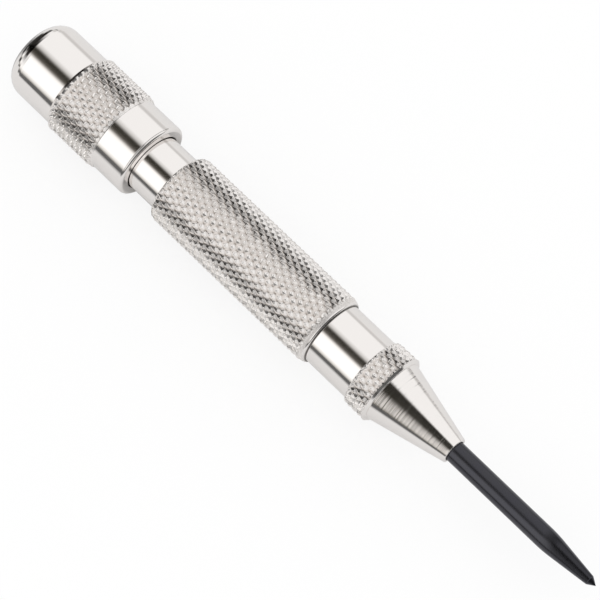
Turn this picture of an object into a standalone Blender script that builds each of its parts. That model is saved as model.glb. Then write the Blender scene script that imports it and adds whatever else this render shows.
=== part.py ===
"""An automatic centre punch, lying on its side with its point towards +X.

Pushing on the cap drives the point into the nose. The askew trip pin lifts the hammer against the main spring until
the tapered guide bush lines the pin up with the hole in the hammer, and the hammer drops onto the pin's shoulder.
Lengths along the tool are stations, measured from the rear shoulder of the grip, forwards positive.
"""

import math
from collections import namedtuple

import bmesh
import bpy
from mathutils import Matrix, Vector

MM = 0.001

# Outside lengths, from the end of the cap to the tip of the point
CAP_LENGTH = 28.8 * MM
NECK_SHOWING = 6.25 * MM
GRIP_LENGTH = 36.25 * MM
FRONT_LENGTH = 9.2 * MM
NOSE_RING_LENGTH = 4.55 * MM
NOSE_CONE_LENGTH = 14.1 * MM
POINT_SHOWING = 30.85 * MM

# Outside diameters
CAP_DIAMETER = 14.3 * MM
CAP_KNURL_DIAMETER = 15.4 * MM
NECK_DIAMETER = 10.6 * MM
GRIP_DIAMETER = 13.4 * MM
FRONT_DIAMETER = 11.75 * MM
NOSE_RING_DIAMETER = 13.0 * MM
CONE_BASE_DIAMETER = 11.55 * MM
CONE_END_DIAMETER = 4.8 * MM
POINT_DIAMETER = 3.7 * MM

# Cap
CAP_END_RADIUS = 3.1 * MM
CAP_KNURL_FROM_END = 11.1 * MM
CAP_KNURL_LENGTH = 10.8 * MM
CAP_KNURL_CHAMFER = 0.55 * MM
CAP_FRONT_CHAMFER = 0.5 * MM
CAP_MOUTH_CHAMFER = 0.4 * MM
CAP_END_WALL = 3.6 * MM
CAP_STOP_CLEARANCE = 0.5 * MM
SEAT_POCKET_DEPTH = 3.2 * MM

# Spring seat in the cap
SEAT_DIAMETER = 8.6 * MM
SEAT_THICKNESS = 2.4 * MM
SEAT_SPIGOT_LENGTH = 4.0 * MM
SEAT_CHAMFER = 0.3 * MM

# Barrel
NECK_END_CLEARANCE = 1.5 * MM
NECK_END_CHAMFER = 0.4 * MM
GRIP_REAR_RADIUS = 1.2 * MM
GRIP_FRONT_RADIUS = 0.6 * MM
HAMMER_BORE = 8.4 * MM
FRONT_BORE = 9.2 * MM
BUSH_FROM_GRIP = 20.65 * MM

# Nose
NOSE_THREAD_DIAMETER = 10.1 * MM
NOSE_THREAD_LENGTH = 6.5 * MM
NOSE_RING_CHAMFER = 0.4 * MM
NOSE_REAR_BORE = 7.5 * MM
NOSE_END_CHAMFER = 0.2 * MM
POINT_GUIDE_LENGTH = 7.0 * MM

# Punch point
POINT_HEAD_DIAMETER = 5.4 * MM
POINT_HEAD_LENGTH = 5.5 * MM
POINT_HEAD_CHAMFER = 0.3 * MM
POINT_TAPER_LENGTH = 8.55 * MM
POINT_TAPER_END_DIAMETER = 1.7 * MM
POINT_TIP_ANGLE = math.radians(66)
PIN_CUP_DEPTH = 3.3 * MM

# Hammer and main spring
HAMMER_LENGTH = 17.0 * MM
HAMMER_CHAMFER = 0.5 * MM
HAMMER_SPIGOT_LENGTH = 3.0 * MM
HAMMER_HOLE_SPARE = 1.0 * MM
MAIN_SPRING_DIAMETER = 7.8 * MM
MAIN_SPRING_WIRE = 1.2 * MM
MAIN_SPRING_TURNS = 12

# Guide bush, trip pin and return spring
STROKE = 9.0 * MM
BUSH_LENGTH = 4.2 * MM
BUSH_LAND = 0.9 * MM
BUSH_MOUTH_DIAMETER = 6.4 * MM
PIN_TIP_DIAMETER = 2.3 * MM
PIN_SHANK_DIAMETER = 3.8 * MM
PIN_COLLAR_DIAMETER = 6.4 * MM
PIN_COLLAR_LENGTH = 2.0 * MM
PIN_FOOT_DIAMETER = 3.0 * MM
PIN_FOOT_LENGTH = 9.35 * MM
PIN_CHAMFER = 0.3 * MM
PIN_PROUD_OF_BUSH = 0.5 * MM
RETURN_SPRING_DIAMETER = 7.1 * MM
RETURN_SPRING_WIRE = 0.7 * MM
RETURN_SPRING_TURNS = 8
SPRING_END_GAP = 0.5 * MM

# Clearances: across a sliding or screwed fit, and between faces that bear on each other
SLIDE_GAP = 0.15 * MM
PIN_GAP = 0.2 * MM
FACE_GAP = 0.3 * MM

# Facets
SIDES = 32
ARC_STEPS = 5
POINTS_PER_TURN = 10

# The tool lies on a flat of its widest part's facets
AXIS_HEIGHT = CAP_KNURL_DIAMETER / 2 * math.cos(math.pi / SIDES)

# Stations of the outside, from the grip's rear shoulder
CAP_FRONT = -NECK_SHOWING
CAP_END = CAP_FRONT - CAP_LENGTH
GRIP_FRONT = GRIP_LENGTH
BARREL_FRONT = GRIP_FRONT + FRONT_LENGTH
CONE_BASE = BARREL_FRONT + NOSE_RING_LENGTH
NOSE_FRONT = CONE_BASE + NOSE_CONE_LENGTH
TIP = NOSE_FRONT + POINT_SHOWING

# Stations inside, from the cap forwards
SEAT_REAR = CAP_END + CAP_END_WALL + FACE_GAP
SEAT_FRONT = SEAT_REAR + SEAT_THICKNESS
CAP_TRAVEL_IN = NECK_SHOWING - CAP_STOP_CLEARANCE
NECK_END = SEAT_FRONT + CAP_TRAVEL_IN + NECK_END_CLEARANCE
BUSH_REAR = BUSH_FROM_GRIP
BUSH_FRONT = BUSH_REAR + BUSH_LENGTH
HAMMER_FRONT = BUSH_REAR - FACE_GAP
HAMMER_REAR = HAMMER_FRONT - HAMMER_LENGTH

# Stations inside, from the nose backwards
POINT_SEAT = NOSE_FRONT - POINT_GUIDE_LENGTH
HEAD_FRONT = POINT_SEAT - FACE_GAP
HEAD_REAR = HEAD_FRONT - POINT_HEAD_LENGTH
PIN_PIVOT = HEAD_REAR + PIN_CUP_DEPTH - FACE_GAP - PIN_FOOT_DIAMETER / 2
COLLAR_FRONT = PIN_PIVOT - PIN_FOOT_LENGTH
COLLAR_REAR = COLLAR_FRONT - PIN_COLLAR_LENGTH
PIN_SHOULDER = BUSH_REAR - PIN_PROUD_OF_BUSH + STROKE
PIN_END = HAMMER_FRONT + FACE_GAP

# The trip pin leans until its tip nearly meets the wall of the bush's land, and is straight after a full stroke
BUSH_HOLE_RADIUS = PIN_SHANK_DIAMETER / 2 + PIN_GAP
PIN_LEAN = BUSH_HOLE_RADIUS - PIN_GAP - PIN_TIP_DIAMETER / 2
PIN_TILT = math.asin(PIN_LEAN / (PIN_PIVOT - PIN_END))

# A corner of a turned outline: station, radius, how far back its chamfer or rounding starts, and its steps
Corner = namedtuple("Corner", "x radius setback steps", defaults=(0.0, 1))


def outline(corners):
    """Points along a turned outline, with each corner's chamfer or rounding worked out."""
    points = []
    for index, corner in enumerate(corners):
        here = Vector((corner.x, corner.radius))
        if not corner.setback:
            points.append(here)
            continue
        to_last = Vector(corners[index - 1][:2]) - here
        to_next = Vector(corners[(index + 1) % len(corners)][:2]) - here
        setback = min(corner.setback, 0.9 * to_last.length, 0.9 * to_next.length)
        start = here + to_last.normalized() * setback
        end = here + to_next.normalized() * setback
        half_angle = to_last.angle(to_next) / 2
        middle = here + (to_last.normalized() + to_next.normalized()).normalized() * setback / math.cos(half_angle)
        for step in range(corner.steps + 1):
            share = step / corner.steps
            if corner.steps == 1:
                points.append(start.lerp(end, share))
            else:
                arm = (start - middle).normalized().slerp((end - middle).normalized(), share)
                points.append(middle + arm * (start - middle).length)
    return points


def turned(name, corners, station, material):
    """A piece turned about the tool's axis, solid where its outline starts and ends on the axis, a flat facing down."""
    points = outline(corners)
    solid = points[0].y == 0 and points[-1].y == 0
    half_side = Matrix.Rotation(math.pi / SIDES, 3, "X")
    work = bmesh.new()
    ring = [work.verts.new(half_side @ Vector((point.x, 0, point.y))) for point in points]
    edges = [work.edges.new(pair) for pair in zip(ring, ring[1:])]
    if not solid:
        edges.append(work.edges.new((ring[-1], ring[0])))
    bmesh.ops.spin(
        work, geom=ring + edges, cent=(0, 0, 0), axis=(1, 0, 0), angle=2 * math.pi, steps=SIDES, use_merge=True
    )
    bmesh.ops.remove_doubles(work, verts=work.verts, dist=1e-7)
    bmesh.ops.recalc_face_normals(work, faces=work.faces)
    mesh = bpy.data.meshes.new(name)
    work.to_mesh(mesh)
    work.free()
    mesh.shade_smooth()
    mesh.set_sharp_from_angle(angle=math.radians(30))
    return placed(name, mesh, station, material)


def coil_spring(name, rear, front, diameter, wire, turns, material):
    """A compression spring between two stations, one round wire with a closed turn at each end."""
    radius = (diameter - wire) / 2
    end_rise = wire + SPRING_END_GAP
    open_rise = (front - rear - wire - 2 * end_rise) / (turns - 2)
    centres = []
    for index in range(turns * POINTS_PER_TURN + 1):
        turn = index / POINTS_PER_TURN
        closed_turns = min(turn, 1) + max(turn - turns + 1, 0)
        x = wire / 2 + closed_turns * end_rise + (turn - closed_turns) * open_rise
        angle = 2 * math.pi * turn
        centres.append(Vector((x, radius * math.cos(angle), radius * math.sin(angle))))
    gap = min(
        (one - other).length
        for index, one in enumerate(centres)
        for other in centres[index + POINTS_PER_TURN // 2:]
    )
    print(f"{name}: least gap between turns {(gap - wire) / MM:.2f} mm")
    curve = bpy.data.curves.new(name, "CURVE")
    curve.dimensions = "3D"
    curve.bevel_depth = wire / 2
    curve.bevel_resolution = 1
    curve.use_fill_caps = True
    spline = curve.splines.new("POLY")
    spline.points.add(len(centres) - 1)
    for point, centre in zip(spline.points, centres):
        point.co = (*centre, 1)
    return placed(name, curve, rear, material)


def placed(name, data, station, material):
    piece = bpy.data.objects.new(name, data)
    data.materials.append(material)
    piece.parent = tool_axis
    piece.location = (station, 0, 0)
    bpy.context.scene.collection.objects.link(piece)
    return piece


def metal(name, colour, roughness, metallic=1.0):
    material = bpy.data.materials.new(name)
    material.use_nodes = True
    shader = material.node_tree.nodes["Principled BSDF"]
    shader.inputs["Base Color"].default_value = (*colour, 1)
    shader.inputs["Roughness"].default_value = roughness
    shader.inputs["Metallic"].default_value = metallic
    return material


def adjusting_cap():
    """Cup with a flat end, a raised knurl band and a plain collar, bored for the neck and the spring seat."""
    radius = CAP_DIAMETER / 2
    knurl_end = CAP_KNURL_FROM_END + CAP_KNURL_LENGTH
    bore = NECK_DIAMETER / 2 + SLIDE_GAP
    pocket = SEAT_DIAMETER / 2 + SLIDE_GAP
    pocket_mouth = CAP_END_WALL + SEAT_POCKET_DEPTH
    corners = [
        Corner(0, 0),
        Corner(0, radius, CAP_END_RADIUS, ARC_STEPS),
        Corner(CAP_KNURL_FROM_END, radius),
        Corner(CAP_KNURL_FROM_END, CAP_KNURL_DIAMETER / 2, CAP_KNURL_CHAMFER),
        Corner(knurl_end, CAP_KNURL_DIAMETER / 2, CAP_KNURL_CHAMFER),
        Corner(knurl_end, radius),
        Corner(CAP_LENGTH, radius, CAP_FRONT_CHAMFER),
        Corner(CAP_LENGTH, bore, CAP_MOUTH_CHAMFER),
        Corner(pocket_mouth, bore),
        Corner(pocket_mouth, pocket),
        Corner(CAP_END_WALL, pocket),
        Corner(CAP_END_WALL, 0),
    ]
    turned("adjusting_cap", corners, CAP_END, nickel_plate)


def spring_seat():
    """Thrust button under the cap's end wall, with a spigot that centres the main spring."""
    spigot = MAIN_SPRING_DIAMETER / 2 - MAIN_SPRING_WIRE - FACE_GAP
    corners = [
        Corner(0, 0),
        Corner(0, SEAT_DIAMETER / 2, SEAT_CHAMFER),
        Corner(SEAT_THICKNESS, SEAT_DIAMETER / 2, SEAT_CHAMFER),
        Corner(SEAT_THICKNESS, spigot),
        Corner(SEAT_THICKNESS + SEAT_SPIGOT_LENGTH, spigot, SEAT_CHAMFER),
        Corner(SEAT_THICKNESS + SEAT_SPIGOT_LENGTH, 0),
    ]
    turned("spring_seat", corners, SEAT_REAR, hardened_steel)


def barrel():
    """Neck, grip and front turned in one, bored from both ends to a step that the guide bush seats on."""
    neck = NECK_DIAMETER / 2
    front = FRONT_DIAMETER / 2
    thread = NOSE_THREAD_DIAMETER / 2
    thread_end = BARREL_FRONT - NOSE_THREAD_LENGTH - FACE_GAP
    corners = [
        Corner(NECK_END, HAMMER_BORE / 2),
        Corner(NECK_END, neck, NECK_END_CHAMFER),
        Corner(0, neck),
        Corner(0, GRIP_DIAMETER / 2, GRIP_REAR_RADIUS, ARC_STEPS),
        Corner(GRIP_FRONT, GRIP_DIAMETER / 2, GRIP_FRONT_RADIUS, ARC_STEPS),
        Corner(GRIP_FRONT, front),
        Corner(BARREL_FRONT, front),
        Corner(BARREL_FRONT, thread),
        Corner(thread_end, thread),
        Corner(thread_end, FRONT_BORE / 2),
        Corner(BUSH_REAR - FACE_GAP, FRONT_BORE / 2),
        Corner(BUSH_REAR - FACE_GAP, HAMMER_BORE / 2),
    ]
    turned("barrel", corners, 0, nickel_plate)


def guide_bush():
    """Hardened ring with a short land at the hammer's end and a taper that leads the pin's shoulder in."""
    outside = FRONT_BORE / 2 - SLIDE_GAP
    corners = [
        Corner(0, BUSH_HOLE_RADIUS),
        Corner(0, outside, SEAT_CHAMFER),
        Corner(BUSH_LENGTH, outside, SEAT_CHAMFER),
        Corner(BUSH_LENGTH, BUSH_MOUTH_DIAMETER / 2),
        Corner(BUSH_LAND, BUSH_HOLE_RADIUS),
    ]
    turned("guide_bush", corners, BUSH_REAR, hardened_steel)


def hammer():
    """Sliding slug with a spigot for the main spring and a hole for the trip pin's tip."""
    outside = HAMMER_BORE / 2 - SLIDE_GAP
    spigot = MAIN_SPRING_DIAMETER / 2 - MAIN_SPRING_WIRE - FACE_GAP
    hole = PIN_TIP_DIAMETER / 2 + PIN_GAP
    hole_depth = PIN_SHOULDER - PIN_END + HAMMER_HOLE_SPARE
    corners = [
        Corner(-HAMMER_SPIGOT_LENGTH, 0),
        Corner(-HAMMER_SPIGOT_LENGTH, spigot, HAMMER_CHAMFER),
        Corner(0, spigot),
        Corner(0, outside, HAMMER_CHAMFER),
        Corner(HAMMER_LENGTH, outside, HAMMER_CHAMFER),
        Corner(HAMMER_LENGTH, hole),
        Corner(HAMMER_LENGTH - hole_depth, hole),
        Corner(HAMMER_LENGTH - hole_depth, 0),
    ]
    turned("hammer", corners, HAMMER_REAR, hardened_steel)


def trip_pin():
    """Stepped pin about its round foot: thin tip, striking shoulder, shank, collar for the return spring, foot."""
    foot = PIN_FOOT_DIAMETER / 2
    tip = PIN_TIP_DIAMETER / 2
    shank = PIN_SHANK_DIAMETER / 2
    collar = PIN_COLLAR_DIAMETER / 2
    end, shoulder = PIN_END - PIN_PIVOT, PIN_SHOULDER - PIN_PIVOT
    collar_rear, collar_front = COLLAR_REAR - PIN_PIVOT, COLLAR_FRONT - PIN_PIVOT
    corners = [
        Corner(end, 0),
        Corner(end, tip, PIN_CHAMFER),
        Corner(shoulder, tip),
        Corner(shoulder, shank, PIN_CHAMFER),
        Corner(collar_rear, shank),
        Corner(collar_rear, collar, PIN_CHAMFER),
        Corner(collar_front, collar, PIN_CHAMFER),
        Corner(collar_front, foot),
        Corner(foot, foot, foot, ARC_STEPS),
        Corner(foot, 0),
    ]
    pin = turned("trip_pin", corners, PIN_PIVOT, hardened_steel)
    pin.rotation_euler.y = -PIN_TILT


def nose():
    """Threaded spigot, knurled ring and cone in one, bored in steps for the collar, the head and the shank."""
    spigot = NOSE_THREAD_DIAMETER / 2 - SLIDE_GAP
    ring = NOSE_RING_DIAMETER / 2
    rear_bore = NOSE_REAR_BORE / 2
    head_bore = POINT_HEAD_DIAMETER / 2 + PIN_GAP
    guide = POINT_DIAMETER / 2 + SLIDE_GAP
    ring_rear = FACE_GAP
    ring_front = NOSE_RING_LENGTH
    head_room = HEAD_REAR - FACE_GAP - PIN_FOOT_DIAMETER / 2
    corners = [
        Corner(-NOSE_THREAD_LENGTH, rear_bore),
        Corner(-NOSE_THREAD_LENGTH, spigot, NOSE_RING_CHAMFER),
        Corner(ring_rear, spigot),
        Corner(ring_rear, ring),
        Corner(ring_front, ring, NOSE_RING_CHAMFER),
        Corner(ring_front, CONE_BASE_DIAMETER / 2),
        Corner(NOSE_FRONT - BARREL_FRONT, CONE_END_DIAMETER / 2, NOSE_END_CHAMFER),
        Corner(NOSE_FRONT - BARREL_FRONT, guide),
        Corner(POINT_SEAT - BARREL_FRONT, guide),
        Corner(POINT_SEAT - BARREL_FRONT, head_bore),
        Corner(head_room - BARREL_FRONT, head_bore),
        Corner(head_room - BARREL_FRONT, rear_bore),
    ]
    turned("nose", corners, BARREL_FRONT, nickel_plate)


def punch_point():
    """Headed point: a cup for the trip pin's foot, a plain shank, a slow taper and a conical tip."""
    head = POINT_HEAD_DIAMETER / 2
    shank = POINT_DIAMETER / 2
    taper_end = POINT_TAPER_END_DIAMETER / 2
    cup = PIN_FOOT_DIAMETER / 2 + 2 * PIN_GAP
    tip = TIP - HEAD_REAR
    tip_base = tip - taper_end / math.tan(POINT_TIP_ANGLE / 2)
    corners = [
        Corner(PIN_CUP_DEPTH, 0),
        Corner(PIN_CUP_DEPTH, cup),
        Corner(0, cup),
        Corner(0, head, POINT_HEAD_CHAMFER),
        Corner(POINT_HEAD_LENGTH, head),
        Corner(POINT_HEAD_LENGTH, shank),
        Corner(tip_base - POINT_TAPER_LENGTH, shank),
        Corner(tip_base, taper_end),
        Corner(tip, 0),
    ]
    turned("punch_point", corners, HEAD_REAR, black_oxide_steel)


for old in list(bpy.data.objects):
    bpy.data.objects.remove(old, do_unlink=True)

nickel_plate = metal("nickel_plate", (0.78, 0.75, 0.70), 0.12)
black_oxide_steel = metal("black_oxide_steel", (0.035, 0.035, 0.040), 0.35, 0.8)
hardened_steel = metal("hardened_steel", (0.36, 0.36, 0.37), 0.3)
spring_steel = metal("spring_steel", (0.42, 0.42, 0.44), 0.25)

# Everything hangs from a guide on the tool's axis, at the grip's rear shoulder, with the tool centred along its length
tool_axis = bpy.data.objects.new("tool_axis", None)
tool_axis.location = (-(CAP_END + TIP) / 2, 0, AXIS_HEIGHT)
bpy.context.scene.collection.objects.link(tool_axis)

adjusting_cap()
spring_seat()
barrel()
guide_bush()
hammer()
nose()
punch_point()
trip_pin()
coil_spring(
    "main_spring", SEAT_FRONT + FACE_GAP, HAMMER_REAR - FACE_GAP,
    MAIN_SPRING_DIAMETER, MAIN_SPRING_WIRE, MAIN_SPRING_TURNS, spring_steel,
)
coil_spring(
    "return_spring", BUSH_FRONT + FACE_GAP, COLLAR_REAR - FACE_GAP,
    RETURN_SPRING_DIAMETER, RETURN_SPRING_WIRE, RETURN_SPRING_TURNS, spring_steel,
)
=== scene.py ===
import math

import bmesh
import bpy
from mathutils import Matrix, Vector


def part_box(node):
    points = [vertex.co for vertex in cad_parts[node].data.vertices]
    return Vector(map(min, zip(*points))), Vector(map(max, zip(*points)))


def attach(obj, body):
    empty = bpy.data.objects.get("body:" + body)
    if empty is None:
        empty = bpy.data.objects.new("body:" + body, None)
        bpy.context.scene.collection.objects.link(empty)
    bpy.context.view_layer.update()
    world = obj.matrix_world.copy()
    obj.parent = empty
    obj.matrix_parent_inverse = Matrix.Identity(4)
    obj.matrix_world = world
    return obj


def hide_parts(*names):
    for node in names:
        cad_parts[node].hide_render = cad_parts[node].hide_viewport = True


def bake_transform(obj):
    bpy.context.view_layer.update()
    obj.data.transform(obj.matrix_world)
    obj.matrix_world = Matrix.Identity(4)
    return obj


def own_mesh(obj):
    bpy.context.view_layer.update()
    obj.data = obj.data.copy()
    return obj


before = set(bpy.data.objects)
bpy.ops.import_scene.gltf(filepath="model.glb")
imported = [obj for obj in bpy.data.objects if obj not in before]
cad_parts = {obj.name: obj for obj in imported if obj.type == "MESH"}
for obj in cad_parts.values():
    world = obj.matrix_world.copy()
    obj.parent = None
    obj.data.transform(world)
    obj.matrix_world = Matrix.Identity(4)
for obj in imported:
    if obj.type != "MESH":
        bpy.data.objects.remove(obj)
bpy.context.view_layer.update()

# The barrel is one steel bar, turned and bored, with its grip rolled between two diamond knurling wheels.
# It is bright nickel plated all over. The neck carries the cap's thread and the plain front takes the nose.
MM = 0.001
barrel_low, barrel_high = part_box("barrel")
AXIS_HEIGHT = (barrel_low.z + barrel_high.z) / 2
FRONT_LENGTH = 9.2 * MM
GRIP_LENGTH = 36.25 * MM
GRIP_RADIUS = 6.7 * MM
GRIP_REAR_ROUNDING = 1.2 * MM
GRIP_REAR_TRIM = 0.25 * MM
GRIP_RIM = 0.4 * MM
GRIP_RIM_RADIUS = 6.4 * MM
GRIP_RIM_END_RADIUS = 6.28 * MM
GRIP_RIM_ROUNDING = 0.38 * MM
GRIP_TAPER = 1.0 * MM
GRIP_RUN_OUT = 1.2 * MM
GRIP_TEETH = 32
GRIP_DRIFT = -4
FRONT_RADIUS = 5.875 * MM
NECK_RADIUS = 5.3 * MM
NECK_END_CHAMFER = 0.4 * MM
BUSH_STEP = 0.3 * MM
HAMMER_BORE_RADIUS = 4.2 * MM
FRONT_BORE_RADIUS = 4.6 * MM
NOSE_THREAD_RADIUS = 5.05 * MM
NOSE_THREAD_DEPTH = 6.8 * MM
BROKEN_EDGE = 0.12 * MM
KNURL_DEPTH = 0.55 * MM
DIAMOND_LENGTH = 2.1 * MM
HALF_DIAMOND_CELLS = 5
FILLED_TO = 0.05
RUBBED_FROM = 0.85
DEPTH_SCATTER = 0.3
DEPTH_PATCH = 1.5 * MM
CROSSING_SHADE_SPOT = 0.6
NO_RUN_OUT = 0.001 * MM
WELD_DISTANCE = 0.001 * MM
CHAMFERED, ROUNDED = 1.0, 2.0
ARC_STEPS = 9
HOLDING_RING = 0.06 * MM
LONG_STRETCH = 3 * HOLDING_RING
SHARP_ANGLE = math.radians(40)


def turned_outline(corners):
    """Points (x, radius) along a turned outline, where a corner (x, radius, setback) is eased by an arc.
    Rings close to both ends of a long stretch keep its shading straight."""
    points = []
    for index, corner in enumerate(corners):
        here = Vector(corner[:2])
        if len(corner) == 2:
            points.append(here)
            continue
        to_last = (Vector(corners[index - 1][:2]) - here).normalized()
        to_next = (Vector(corners[index + 1][:2]) - here).normalized()
        start = here + to_last * corner[2]
        end = here + to_next * corner[2]
        reach = corner[2] / math.cos(to_last.angle(to_next) / 2)
        middle = here + (to_last + to_next).normalized() * reach
        for step in range(ARC_STEPS + 1):
            arm = (start - middle).normalized().slerp((end - middle).normalized(), step / ARC_STEPS)
            points.append(middle + arm * (start - middle).length)
    held = points[:1]
    for start, end in zip(points, points[1:]):
        along = end - start
        if along.length > LONG_STRETCH:
            inset = along.normalized() * HOLDING_RING
            held += [start + inset, end - inset]
        held.append(end)
    return held


def turned_shell(name, outlines, columns):
    """Turns outlines about the tool's axis. Each runs forwards outside and backwards inside, so that its
    faces point outwards."""
    work = bmesh.new()
    for points in outlines:
        last_ring = None
        for x, radius in points:
            if radius > 0:
                angles = [2 * math.pi * column / columns for column in range(columns)]
                ring = [
                    work.verts.new((x, radius * math.sin(angle), AXIS_HEIGHT + radius * math.cos(angle)))
                    for angle in angles
                ]
            else:
                ring = [work.verts.new((x, 0, AXIS_HEIGHT))] * columns
            for column in range(columns if last_ring else 0):
                after = (column + 1) % columns
                loop = [last_ring[column], ring[column], ring[after], last_ring[after]]
                work.faces.new(dict.fromkeys(loop))
            last_ring = ring
    mesh = bpy.data.meshes.new(name)
    work.to_mesh(mesh)
    work.free()
    piece = bpy.data.objects.new(name, mesh)
    bpy.context.scene.collection.objects.link(piece)
    return piece


def edge_drop(distance, edge, fullness):
    """How far a chamfered or rounded end lies below the crest, at a distance in from that end."""
    inset = 1 - min(distance / edge, 1)
    return edge * (1 - (1 - inset ** fullness) ** (1 / fullness))


def add_node(tree, kind, inputs=None, **settings):
    """Adds a node with its settings. An input gets a value, or a link from an output or from a node's first
    output."""
    node = tree.nodes.new(kind)
    for name, value in settings.items():
        setattr(node, name, value)
    for socket, value in (inputs or {}).items():
        if isinstance(value, bpy.types.Node):
            value = value.outputs[0]
        if isinstance(value, bpy.types.NodeSocket):
            tree.links.new(value, node.inputs[socket])
        else:
            node.inputs[socket].default_value = value
    return node


def new_tree(name, sizes):
    """A geometry tree with a Body to add to, named sizes and a Finish, and its group input."""
    tree = bpy.data.node_groups.new(name, "GeometryNodeTree")
    tree.interface.new_socket("Body", in_out="INPUT", socket_type="NodeSocketGeometry")
    for size in sizes:
        tree.interface.new_socket(size, in_out="INPUT", socket_type="NodeSocketFloat")
    tree.interface.new_socket("Finish", in_out="INPUT", socket_type="NodeSocketMaterial")
    tree.interface.new_socket("Piece", in_out="OUTPUT", socket_type="NodeSocketGeometry")
    return tree, add_node(tree, "NodeGroupInput").outputs


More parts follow.
